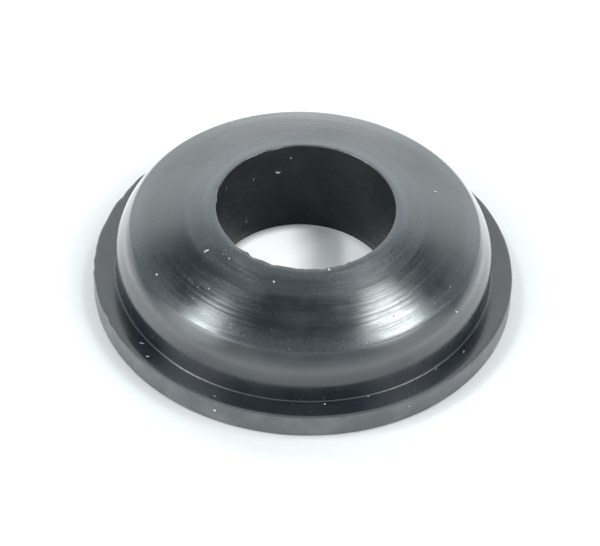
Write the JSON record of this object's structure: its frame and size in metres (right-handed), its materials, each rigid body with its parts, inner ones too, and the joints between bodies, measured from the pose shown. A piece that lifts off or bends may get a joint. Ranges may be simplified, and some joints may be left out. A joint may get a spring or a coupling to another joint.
{
  "type": "valve cover grommet",
  "caption": "Round moulded rubber grommet: a thin flange, a short upright wall, a rounded shoulder and a shallow domed top around a straight through bore.",
  "frame": {"origin": "centre of the flat underside, on the axis of the bore", "axes": "+Z along the bore, from the underside up to the rim; the part is the same all round, so +X and +Y are free"},
  "size_m": [0.03, 0.03, 0.0078],
  "materials": {
    "rubber": "smooth moulded black rubber with a soft gloss, faint turned rings and dust"
  },
  "bodies": {
    "root": {"grommet": "rubber"}
  },
  "joints": []
}
